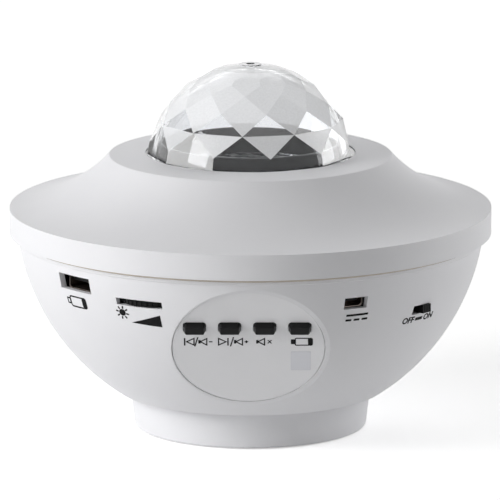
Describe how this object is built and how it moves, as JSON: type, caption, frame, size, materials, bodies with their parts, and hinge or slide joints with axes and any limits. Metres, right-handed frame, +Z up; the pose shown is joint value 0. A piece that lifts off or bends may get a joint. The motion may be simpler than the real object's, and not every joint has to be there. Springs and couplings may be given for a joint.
{
  "type": "star night light projector",
  "caption": "Saucer-shaped table night light projector with a faceted clear dome, a turning ripple disc, a key panel, a dimmer wheel, a power switch and a speaker in its foot.",
  "frame": {"origin": "middle of the surface the rubber feet stand on, on the axis of the round housing", "axes": "+Z up through the dome; -Y is the front, where the control panel faces outward and down; +X is the right side seen from the front"},
  "size_m": [0.1676, 0.1676, 0.1278],
  "materials": {
    "white_abs": "fine matte moulding texture",
    "panel_abs": "satin",
    "clear_pc": "polished clear polycarbonate",
    "ripple_acrylic": "clear acrylic with a rippled face",
    "black_abs": "satin black",
    "black_rubber": "matte rubber",
    "white_pom": "slightly waxy moulding",
    "zinc_steel": "zinc plated",
    "motor_steel": "drawn can",
    "brass": "turned",
    "aluminium": "extruded, plain",
    "board_green": "solder mask",
    "chip_black": "moulded epoxy",
    "capacitor_sleeve": "printed sleeve, bare",
    "led_phosphor": "silicone",
    "lens_acrylic": "clear",
    "cone_paper": "pressed paper",
    "ferrite": "sintered",
    "foam": "closed-cell foam",
    "copper_wire": "enamelled wire",
    "gold_plate": "plated"
  },
  "bodies": {
    "housing": {"lower_bowl": "white_abs", "upper_lid": "white_abs", "dome_cover": "clear_pc", "dome_retainer": "black_abs", "retainer_screws": "zinc_steel", "motor": "motor_steel", "motor_bracket": "white_pom", "motor_screws": "zinc_steel", "lamp_chassis": "black_abs", "chassis_screws": "zinc_steel", "light_cup": "black_abs", "led_board": "aluminium", "led_emitters": "led_phosphor", "led_lenses": "lens_acrylic", "heat_sink": "aluminium", "laser_barrel": "black_abs", "laser_module": "brass", "star_grating": "clear_pc", "main_board": "board_green", "board_screws": "zinc_steel", "board_chips": "chip_black", "board_capacitors": "capacitor_sleeve", "usb_shell": "zinc_steel", "usb_tongue": "black_abs", "usb_contacts": "gold_plate", "dc_shell": "zinc_steel", "dc_tongue": "black_abs", "power_switch": "zinc_steel", "dimmer_base": "chip_black", "control_panel": "panel_abs", "panel_screws": "zinc_steel", "tact_switches": "chip_black", "key_board": "board_green", "remote_receiver": "chip_black", "speaker_gasket": "foam", "speaker_basket": "motor_steel", "speaker_surround": "black_rubber", "speaker_magnet": "ferrite", "speaker_top_plate": "zinc_steel", "speaker_yoke": "zinc_steel", "base_foot": "white_abs", "base_screws": "zinc_steel", "rubber_feet": "black_rubber"},
    "ripple_rotor": {"disc_gear": "white_pom", "ripple_disc": "ripple_acrylic"},
    "pinion_rotor": {"drive_pinion": "white_pom", "motor_shaft": "zinc_steel"},
    "speaker_cone_assembly": {"speaker_cone": "cone_paper", "dust_cap": "cone_paper", "voice_coil": "copper_wire"},
    "power_slider": {"power_slider": "black_abs"},
    "dimmer_wheel": {"dimmer_wheel": "black_abs"},
    "previous_key": {"previous_key": "black_abs", "previous_plunger": "white_pom"},
    "next_key": {"next_key": "black_abs", "next_plunger": "white_pom"},
    "mute_key": {"mute_key": "black_abs", "mute_plunger": "white_pom"},
    "mode_key": {"mode_key": "black_abs", "mode_plunger": "white_pom"}
  },
  "joints": [
    {"name": "disc_spin", "type": "hinge", "parent": "housing", "child": "ripple_rotor", "pos_m": [0, 0, 0.0915], "axis": [0, 0, 1], "continuous": true},
    {"name": "pinion_spin", "type": "hinge", "parent": "housing", "child": "pinion_rotor", "pos_m": [0, 0.037, 0.0869], "axis": [0, 0, 1], "continuous": true},
    {"name": "cone_stroke", "type": "slide", "parent": "housing", "child": "speaker_cone_assembly", "axis": [0, 0, 1], "range_m": [-0.0008, 0.0008], "stiffness_N_per_m": 800, "deforming": ["speaker_surround"]},
    {"name": "power_slide", "type": "slide", "parent": "housing", "child": "power_slider", "axis": [-0.6547, -0.7559, 0], "range_m": [0, 0.0036]},
    {"name": "dimmer_turn", "type": "hinge", "parent": "housing", "child": "dimmer_wheel", "pos_m": [-0.0329, -0.05985, 0.0578], "axis": [0, 0, 1], "range_deg": [0, 280]},
    {"name": "previous_press", "type": "slide", "parent": "housing", "child": "previous_key", "axis": [0, 0.8669, 0.4985], "range_m": [0, 0.0006], "stiffness_N_per_m": 400},
    {"name": "next_press", "type": "slide", "parent": "housing", "child": "next_key", "axis": [0, 0.8669, 0.4985], "range_m": [0, 0.0006], "stiffness_N_per_m": 400},
    {"name": "mute_press", "type": "slide", "parent": "housing", "child": "mute_key", "axis": [0, 0.8669, 0.4985], "range_m": [0, 0.0006], "stiffness_N_per_m": 400},
    {"name": "mode_press", "type": "slide", "parent": "housing", "child": "mode_key", "axis": [0, 0.8669, 0.4985], "range_m": [0, 0.0006], "stiffness_N_per_m": 400}
  ],
  "couplings": [
    {"joint": "pinion_spin", "follows": "disc_spin", "ratio": -4.2857}
  ]
}
